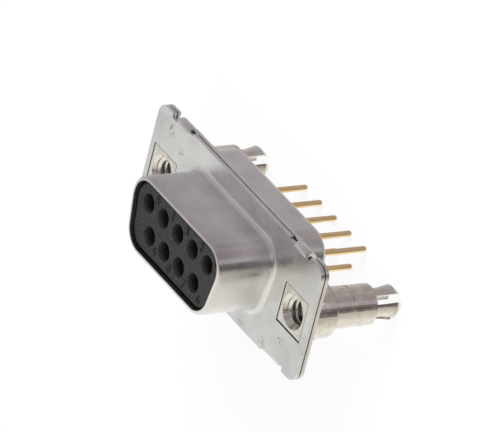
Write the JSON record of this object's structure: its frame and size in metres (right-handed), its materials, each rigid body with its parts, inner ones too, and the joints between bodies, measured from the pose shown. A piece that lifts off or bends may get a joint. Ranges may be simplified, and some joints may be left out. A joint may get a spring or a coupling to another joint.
{
  "type": "d-subminiature socket connector",
  "caption": "Board-mounted D-subminiature socket connector: drawn metal shells, black insulator, turned contacts with straight solder tails, threaded standoffs and board locks.",
  "frame": {"origin": "on the board's top face, under the middle of the D", "axes": "+Z is the mating direction, away from the board; +X runs along the flange's long side; +Y points to the wide side of the D"},
  "size_m": [0.0308, 0.0126, 0.0182],
  "materials": {
    "shell_tin": "drawn steel sheet, tin plated, satin",
    "insulator_black": "moulded glass-filled polyester, black, matt",
    "contact_gold": "turned copper alloy, gold plated",
    "hardware_tin": "turned brass, tin plated, fine lathe marks"
  },
  "bodies": {
    "root": {"front_shell": "shell_tin", "rear_shell": "shell_tin", "front_insulator": "insulator_black", "rear_insulator": "insulator_black", "contact_1": "contact_gold", "contact_2": "contact_gold", "contact_3": "contact_gold", "contact_4": "contact_gold", "contact_5": "contact_gold", "contact_6": "contact_gold", "contact_7": "contact_gold", "contact_8": "contact_gold", "contact_9": "contact_gold", "standoff_left": "hardware_tin", "standoff_right": "hardware_tin", "board_lock_left": "hardware_tin", "board_lock_right": "hardware_tin"}
  },
  "joints": []
}
